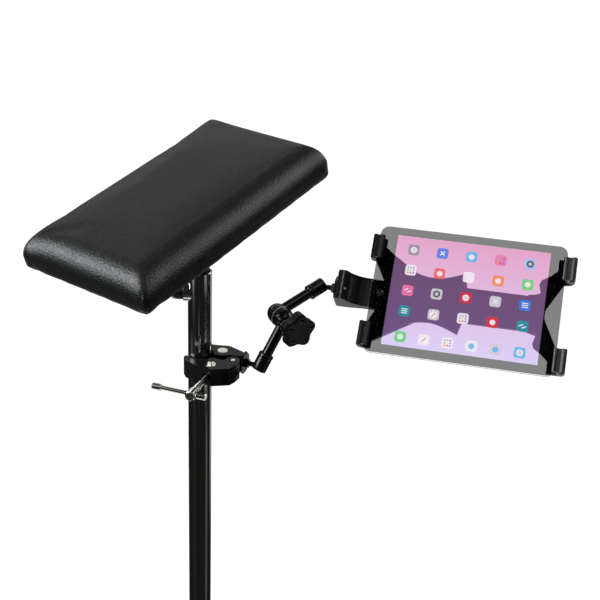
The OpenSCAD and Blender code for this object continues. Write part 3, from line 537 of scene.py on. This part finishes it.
def build_cover():
    """The upholstered shape, part of it swollen by a cloth simulation over a slightly smaller start.
    Returns the object, its flat-cut points and its shaped points."""
    verts, faces = cover_mesh()
    v = np.array(verts)
    me = bpy.data.meshes.new("cushion_cover")
    me.from_pydata(verts, [], faces)
    me.update()
    edges = np.array([tuple(e.vertices) for e in me.edges])
    shape = relax(v, edges, corner_weight(v[:, 0], v[:, 1]) * smooth_step(v[:, 2], 5, 20))
    crown = (1 - (v[:, 0] / (L / 2)) ** 4) * (1 - (v[:, 1] / (W / 2)) ** 4)
    shape[:, 2] += np.where(v[:, 2] > H - 0.01, 1, 0) * crown * CROWN
    start = shape.copy()
    pull = SWELL * smooth_step(start[:, 2], 1, 16)
    for a, half in ((0, L / 2), (1, W / 2)):
        start[:, a] -= np.sign(v[:, a]) * pull * np.clip(np.abs(v[:, a]) / half, 0, 1) ** 3
    start[:, 2] -= smooth_step(v[:, 2], 8, H) * SINK
    for i, q in enumerate(start):
        me.vertices[i].co = Vector(q) * mm
    o = bpy.data.objects.new("cushion_cover", me)
    bpy.context.scene.collection.objects.link(o)
    pin = o.vertex_groups.new(name="pin")
    pin.add([i for i, q in enumerate(v) if q[2] < 3.0], 1.0, "REPLACE")
    cloth = o.modifiers.new("cloth", "CLOTH")
    c = cloth.settings
    c.quality = 7
    c.mass = 0.3
    c.tension_stiffness = c.compression_stiffness = 60
    c.shear_stiffness = 30
    c.bending_stiffness = 18
    c.tension_damping = c.compression_damping = c.shear_damping = 30
    c.bending_damping = 2
    c.air_damping = 6
    c.use_pressure = True
    c.uniform_pressure_force = 4
    c.vertex_group_mass = "pin"
    c.effector_weights.gravity = 0
    cloth.collision_settings.use_collision = False
    scene = bpy.context.scene
    for f in range(1, CLOTH_FRAMES + 1):
        scene.frame_set(f)
    done = o.evaluated_get(bpy.context.evaluated_depsgraph_get())
    got = done.to_mesh()
    q = np.array([w.co for w in got.vertices]) / mm
    done.to_mesh_clear()
    o.modifiers.remove(cloth)
    scene.frame_set(1)
    move = q - start
    far = np.linalg.norm(move, axis=1, keepdims=True)
    move *= np.minimum(1, REACH / np.maximum(far, 1e-9))
    return o, v, shape + (start + move - shape) * CLOTH_SHARE


def pleats(x, y, z):
    """How far a folded line, down the short side close to each corner, moves a point along x."""
    move = np.zeros_like(x)
    side = smooth_step(H - z, 9, 22) * smooth_step(z, -2, 3)
    line = 2.6 + (H - z) * 0.08                              # distance from the corner
    for sx in (-1, 1):
        for sy in (-1, 1):
            on_end = (sx * x > L / 2 - 24) & (sy * y > 0)
            d = (W / 2 - sy * y) - line
            fold = np.exp(-(d / FOLD_WIDE) ** 2) * FOLD_DEEP
            fold = fold - np.exp(-((d + LIP_OFF) / LIP_WIDE) ** 2) * LIP_HIGH
            move -= np.where(on_end, sx, 0) * fold * side
    return move


def hem_lifts(x, y, z):
    """Three small lifts of the hem, two on the near side and one on the near end."""
    near_side, near_end = y < -W / 2 + 14, x < -L / 2 + 14
    lift = np.zeros_like(x)
    for on, d, wide, high in ((near_side, x + L / 2 - 22, 6.0, 2.2), (near_side, x + L / 2 - 50, 4.5, 1.2),
                              (near_end, y - W / 2 + 17, 6.0, 1.5)):
        lift += np.where(on, np.exp(-(d / wide) ** 2) * high, 0)
    return lift * smooth_step(16 - z, 0, 8)


def settle_cover():
    """Gives the cover its drawn-in side, full corners, pleats and hem, and puts it on the pad."""
    o, v, p = build_cover()
    x, y, z = v[:, 0], v[:, 1], v[:, 2]
    top = smooth_step(z, 10, H)
    mid = 1 - (x / (L / 2)) ** 2
    p[:, 1] -= np.where(y > 0, 1, 0) * top * mid * DRAW_IN * smooth_step(np.abs(y), 20, W / 2)
    corner = corner_weight(x, y, 45)
    full = np.sin(np.pi * np.clip(z / (H + 6), 0, 1)) * corner
    out = np.where((x < 0) & (y > 0), LEFT_FULL, np.where((x > 0) & (y > 0), FAR_FULL, NEAR_FULL))
    p[:, 0] += np.sign(x) * full * out
    p[:, 1] += np.sign(y) * full * SIDE_FULL
    p[:, 2] += np.where(x > 0, FAR_LIFT, 0) * corner * top
    p[:, 0] += pleats(x, y, z)
    # soft tucks along the hem
    hem = smooth_step(RB + 4 - z, 0, 8) * smooth_step(z, -3, 1)
    for edge, pos, half in ((1, x, W / 2), (0, y, L / 2)):
        near = np.abs(v[:, edge]) > half - RB - 3
        wave = 0.14 * np.sin(pos * 0.19 + edge) + 0.10 * np.sin(pos * 0.37 + 2 * edge)
        p[:, 2] += np.where(near, wave, 0) * hem
        p[:, edge] -= np.where(near, np.sign(v[:, edge]) * wave * 0.7, 0) * hem
    p[:, 2] += hem_lifts(x, y, z)
    for i, q in enumerate(p):
        o.data.vertices[i].co = PAD @ (Vector(q) * mm)
    o.data.materials.append(M["cover_leather"])
    for f in o.data.polygons:
        f.use_smooth = True
    sub = o.modifiers.new("sub", "SUBSURF")
    sub.levels = sub.render_levels = 1
    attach(o, "pad")
    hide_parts("pad_cover", "pad_foam")


settle_cover()


# ---- the tablet: a clear slab with a tinted front, a lit picture and generic tiles, in millimetres
def rounded(w, h, r, cx=0.0, cz=0.0, steps=8):
    """The outline of a rectangle with round corners."""
    pts = []
    for k, (sx, sz) in enumerate(((1, 1), (-1, 1), (-1, -1), (1, -1))):
        x0, z0 = cx + sx * (w / 2 - r), cz + sz * (h / 2 - r)
        for i in range(steps + 1):
            a = math.radians(90 * (k + i / steps))
            pts.append((x0 + r * math.cos(a), z0 + r * math.sin(a)))
    return pts


def rings(name, loops, material, closed=True):
    """Skin over a list of (points, y) loops in the tablet's frame, with a face over the last if closed."""
    verts, faces = [], []
    n = len(loops[0][0])
    for pts, y in loops:
        verts += [TABLET @ Vector((px * mm, y * mm, pz * mm)) for px, pz in pts]
    for k in range(len(loops) - 1):
        for i in range(n):
            a, b = k * n + i, k * n + (i + 1) % n
            faces.append((a, b, b + n, a + n))
    if closed:
        faces.append(tuple(range((len(loops) - 1) * n, len(loops) * n)))
    return new_object(name, verts, faces, material, "tablet")


TW, TH, TR = 236.0, 168.0, 11.0     # the tablet's width, height and corner radius
SW, SH, SX, SZ = 192.0, 145.4, 1.0, 0.6   # the picture's width, height and middle
SCREEN_R = 0.4                      # the picture's corner radius
BEZEL_Y, SCREEN_Y = -3.62, -3.4     # depths in the tablet, its front being the low side
FRONT_Y = (-3.66, -3.75)            # the glass, from its edge to its face
# inset and depth of the body's rings, front to back
BODY_RINGS = ((0.35, -3.7), (0.05, -3.4), (0, -2.6), (0, 0.6), (0.3, 1.5),
              (1.0, 2.4), (2.2, 3.1), (3.6, 3.55), (5.2, 3.74))


def inset(d, r_less):
    """The tablet's outline, this much narrower in all, with a smaller corner radius."""
    return rounded(TW - d, TH - d, TR - r_less)


body_loops = [(rounded(TW - 2 * i, TH - 2 * i, TR - i), y) for i, y in BODY_RINGS]
slab_piece = rings("tablet_body", body_loops, M["tablet_grey"])
inner = rounded(SW, SH, SCREEN_R, SX, SZ)
rings("tablet_bezel", [(inset(0.7, 0.35), BEZEL_Y), (inner, BEZEL_Y)], M["bezel"],
      closed=False)
screen_loops = [(inner, SCREEN_Y), (rounded(SW - 4, SH - 4, SCREEN_R, SX, SZ), SCREEN_Y)]
screen = rings("tablet_screen", screen_loops, M["display"])
glass_loops = [(inset(0.6, 0.3), FRONT_Y[0]), (inset(1.4, 0.7), FRONT_Y[1])]
glass = rings("tablet_front", glass_loops, M["tablet_glass"])
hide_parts("tablet_shell")
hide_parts("tablet_display")
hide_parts("tablet_glass")


def lin(c):
    """Linear light from an 8-bit screen colour."""
    return tuple(((v / 255 + 0.055) / 1.055) ** 2.4 if v > 10 else v / 3295.0 for v in c)


TONES = {
    "grey": (150, 148, 156), "blue": (62, 128, 226), "sky": (96, 184, 240), "pink": (238, 120, 176),
    "pale": (160, 200, 244), "white": (246, 238, 246), "coral": (240, 98, 92), "orange": (248, 140, 82),
    "green": (96, 214, 112), "red": (222, 52, 62), "silver": (214, 208, 220), "dark": (70, 66, 78),
    "teal": (34, 150, 166),
}
TILE_GLOW = 0.86
TILE_CLEAR = (0.12, 0.12, 0.12)
ink = {k: ghost("tile_" + k, TILE_CLEAR, tuple(c * TILE_GLOW for c in lin(v))) for k, v in TONES.items()}
ink_names = list(TONES)


def disc(cx, cz, r, n=20):
    turns = [2 * math.pi * k / n for k in range(n)]
    return [(cx + r * math.cos(a), cz + r * math.sin(a)) for a in turns]


def bar(cx, cz, w, h, turn=0.0):
    a = math.radians(turn)
    c, s = math.cos(a), math.sin(a)
    return [(cx + x * c - z * s, cz + x * s + z * c)
            for x, z in ((-w / 2, -h / 2), (w / 2, -h / 2), (w / 2, h / 2), (-w / 2, h / 2))]


def glyph(kind, x, z):
    """Generic marks, none of them lettering, as pairs of an outline and its tone."""
    if kind == "dot":
        return [(disc(x, z, 3.6), "white")]
    if kind == "ring":
        return [(disc(x, z, 4.2), "white"), (disc(x, z, 2.4), "silver")]
    if kind == "bars":
        return [(bar(x, z + d, 7.5, 1.3), "white") for d in (-2.6, 0, 2.6)]
    if kind == "cross":
        return [(bar(x, z, 7.5, 1.6, 45), "white"), (bar(x, z, 7.5, 1.6, -45), "white")]
    if kind == "grid":
        return [(disc(x + i * 3.4, z + j * 3.4, 1.2, 12), c) for i, j, c in
                ((-1, -1, "orange"), (0, -1, "red"), (1, -1, "blue"), (-1, 0, "green"), (1, 0, "pink"),
                 (-1, 1, "sky"), (0, 1, "orange"), (1, 1, "teal"))]
    if kind == "wave":
        return [(bar(x - 2, z + 1.2, 5.4, 1.4, 24), "white"), (bar(x + 2, z - 1.2, 5.4, 1.4, 24), "white")]
    if kind == "needle":
        return [(disc(x, z, 5), "white"), (bar(x, z, 7, 1.1, 50), "red")]
    if kind == "drop":
        return [(disc(x, z, 3.8), "sky")]
    if kind == "eye":
        return [(disc(x, z, 4.6), "dark"), (disc(x, z, 2.2), "silver")]
    return []


ROWS = [
    [("grey", "ring"), ("blue", "cross"), ("sky", "dot"), ("pink", "grid"), ("pale", "eye")],
    [("white", "grid"), ("coral", "dot"), ("white", "wave"), ("orange", "dot"), ("green", "dot")],
    [("pink", "wave"), ("silver", "eye"), ("red", "ring"), ("silver", "cross"), ("blue", "bars")],
    [("teal", "bars"), ("silver", "needle"), ("white", "grid"), ("red", "dot"), ("teal", "wave")],
]
DOCK = [("green", "dot"), ("white", "needle"), ("white", "grid"),
        ("white", "drop"), ("silver", "drop"), ("sky", "ring")]
COLUMN, ROW = (0.117, 0.19), (0.12, 0.187)            # first and step, as shares of the picture
DOCK_COLUMN, DOCK_ROW = (0.116, 0.153), 0.913
TILE, TILE_R = 14, 3.2
TILE_Y, MARK_Y, MARK_STEP = -3.45, -3.49, 0.02        # depths of tiles and marks


def tiles():
    """All tiles and their marks, as one piece."""
    verts, faces, tones = [], [], []

    def shape(pts, tone, y):
        n = len(verts)
        verts.extend(TABLET @ Vector((px * mm, y * mm, pz * mm)) for px, pz in pts)
        faces.append(tuple(range(n, n + len(pts))))
        tones.append(ink_names.index(tone))

    spots = [(COLUMN[0] + COLUMN[1] * c, ROW[0] + ROW[1] * r, look)
             for r, row in enumerate(ROWS) for c, look in enumerate(row)]
    spots += [(DOCK_COLUMN[0] + DOCK_COLUMN[1] * c, DOCK_ROW, look) for c, look in enumerate(DOCK)]
    for fx, fz, (tone, kind) in spots:
        x, z = SX - SW / 2 + fx * SW, SZ + SH / 2 - fz * SH
        shape(rounded(TILE, TILE, TILE_R, x, z, 5), tone, TILE_Y)
        stacked = kind in ("ring", "needle", "eye")
        for k, (pts, mark) in enumerate(glyph(kind, x, z)):
            shape(pts, mark, MARK_Y - MARK_STEP * (k if stacked else 0))
    o = new_object("screen_tiles", verts, faces, ink["grey"], "tablet", smooth=False)
    o.data.materials.clear()
    for k in ink_names:
        o.data.materials.append(ink[k])
    for f, k in zip(o.data.polygons, tones):
        f.material_index = k


tiles()

# ---------------------------------------------------------------- floor, light and background
FLOOR_HALF = 30                     # metres
FLOOR_GLOW = 0.99


def lay_floor():
    """A white floor that only the camera sees, lit by itself so that it meets the background."""
    m = Mat("floor")
    glow = m.t.nodes.new("ShaderNodeEmission")
    glow.inputs["Strength"].default_value = FLOOR_GLOW
    add = m.t.nodes.new("ShaderNodeAddShader")
    m.set(m.mix(m.noise(3, 2, 0.5), (0.10, 0.10, 0.10), (0.12, 0.12, 0.12)), 1, Specular_IOR_Level=0)
    m.link(m.b.outputs[0], add.inputs[0])
    m.link(glow.outputs[0], add.inputs[1])
    m.link(add.outputs[0], m.out.inputs["Surface"])
    me = bpy.data.meshes.new("floor")
    s = FLOOR_HALF
    me.from_pydata([(-s, -s, 0), (s, -s, 0), (s, s, 0), (-s, s, 0)], [], [(0, 1, 2, 3)])
    me.materials.append(m.m)
    floor = bpy.data.objects.new("floor", me)
    bpy.context.scene.collection.objects.link(floor)
    floor.visible_glossy = False
    floor.visible_diffuse = False
    floor.visible_shadow = False


lay_floor()

world = bpy.data.worlds.new("studio")
bpy.context.scene.world = world
world.use_nodes = True
wt = world.node_tree
wt.nodes.clear()


def wnode(op, a, b=None):
    n = wt.nodes.new("ShaderNodeMath")
    n.operation = op
    for k, v in enumerate((a, b)):
        if v is None:
            continue
        if isinstance(v, (int, float)):
            n.inputs[k].default_value = v
        else:
            wt.links.new(v, n.inputs[k])
    return n.outputs[0]


sep = wt.nodes.new("ShaderNodeSeparateXYZ")
wt.links.new(wt.nodes.new("ShaderNodeTexCoord").outputs["Generated"], sep.inputs[0])
# directions in degrees: azimuth 0 is +Y and 90 is +X
azimuth = wnode("MULTIPLY", wnode("ARCTAN2", sep.outputs[0], sep.outputs[1]), 180 / math.pi)
height = wnode("MULTIPLY", wnode("ARCSINE", sep.outputs[2]), 180 / math.pi)


def ramp(value, a, b):
    n = wt.nodes.new("ShaderNodeMapRange")
    n.interpolation_type = "SMOOTHSTEP"
    wt.links.new(value, n.inputs["Value"])
    n.inputs["From Min"].default_value = a
    n.inputs["From Max"].default_value = b
    return n.outputs["Result"]


def panel(az, half_az, el, half_el, soft_az, soft_el, color):
    """A lit panel in the surroundings: its middle, half sizes and soft borders, in degrees."""
    turn = wnode("WRAP", wnode("SUBTRACT", azimuth, az), 180.0)
    turn.node.inputs[2].default_value = -180.0
    off = wnode("ABSOLUTE", turn)
    rise = wnode("ABSOLUTE", wnode("SUBTRACT", height, el))
    a = wnode("SUBTRACT", 1.0, ramp(off, half_az, half_az + soft_az))
    e = wnode("SUBTRACT", 1.0, ramp(rise, half_el, half_el + soft_el))
    n = wt.nodes.new("ShaderNodeVectorMath")
    n.operation = "SCALE"
    n.inputs[0].default_value = color
    wt.links.new(wnode("MULTIPLY", a, e), n.inputs["Scale"])
    return n.outputs[0]


def total(parts):
    """The sum of several colours."""
    out = parts[0]
    for p in parts[1:]:
        n = wt.nodes.new("ShaderNodeVectorMath")
        n.operation = "ADD"
        wt.links.new(out, n.inputs[0])
        wt.links.new(p, n.inputs[1])
        out = n.outputs[0]
    return out


room_light = total([
    panel(0, 200, 0, 90, 10, 10, (0.016, 0.016, 0.016)),         # dim room
    panel(-22, 29, 21, 7, 13, 6, (0.72, 0.73, 0.70)),            # lit wall behind
    panel(-26, 28, 45, 9, 14, 8, (0.18, 0.185, 0.18)),           # its upper part, fading
    panel(0, 200, 88, 8, 10, 10, (0.5, 0.5, 0.5)),               # pale ceiling
    panel(-103, 16, 29, 13, 14, 12, (6.5, 6.7, 7.0)),            # large softbox, left
    panel(70, 18, 31, 12, 12, 10, (2.75, 2.85, 2.75)),           # smaller softbox, right
    panel(114, 9, -29.3, 0.3, 12, 0.7, (1.5, 1.6, 1.65)),        # small cards mirrored by the post,
    panel(-176, 1.5, -28.8, 0.9, 3, 1.4, (0.30, 0.27, 0.17)),    # near the clamp
    panel(-98, 7, -28.9, 0.5, 8, 0.8, (0.11, 0.13, 0.20)),
    panel(-120, 7, -24.3, 0.5, 6, 1.2, (0.50, 0.52, 0.50)),      # and near its top
    panel(120, 8, -24.7, 0.3, 8, 0.9, (0.42, 0.44, 0.48)),
    panel(-130, 10, -34, 9, 8, 4, (0.016, 0.013, 0.009)),        # warm shade of the post
    panel(104, 8, -37.5, 4.5, 4, 2, (0.12, 0.12, 0.12)),         # pale streak low on the post
    panel(20, 34, -22, 10, 6, 6, (0.50, 0.55, 0.52)),            # card, back right
    panel(0, 200, -76, 20, 10, 10, (0.9, 0.9, 0.87)),            # pale floor underneath
    panel(180, 34, 63, 7, 16, 8, (0.9, 0.9, 0.9)),               # strip light above the camera
    panel(180, 60, 55, 14, 30, 14, (0.06, 0.06, 0.06)),          # faint fill around it
])
room = wt.nodes.new("ShaderNodeBackground")
wt.links.new(room_light, room.inputs["Color"])
seen = wt.nodes.new("ShaderNodeBackground")
seen.inputs["Color"].default_value = (1, 1, 1, 1)
path = wt.nodes.new("ShaderNodeLightPath")
wmix = wt.nodes.new("ShaderNodeMixShader")
wt.links.new(path.outputs["Is Camera Ray"], wmix.inputs[0])
wt.links.new(room.outputs[0], wmix.inputs[1])
wt.links.new(seen.outputs[0], wmix.inputs[2])
wt.links.new(wmix.outputs[0], wt.nodes.new("ShaderNodeOutputWorld").inputs[0])


KEY_AT, KEY_TARGET = (-2.3, -0.45, 2.1), (0, 0, 0.8)
KEY_SIZE, KEY_POWER = (1.1, 0.8), 9  # metres, watts

key = bpy.data.lights.new("key_left", "AREA")
key.shape = "RECTANGLE"
key.size, key.size_y = KEY_SIZE
key.energy = KEY_POWER
key_light = bpy.data.objects.new("key_left", key)
bpy.context.scene.collection.objects.link(key_light)
key_light.location = KEY_AT
key_light.rotation_mode = "QUATERNION"
key_light.rotation_quaternion = (Vector(KEY_TARGET) - Vector(KEY_AT)).to_track_quat("-Z", "Y")

bpy.context.scene.view_settings.view_transform = "Standard"
bpy.context.scene.view_settings.look = "None"
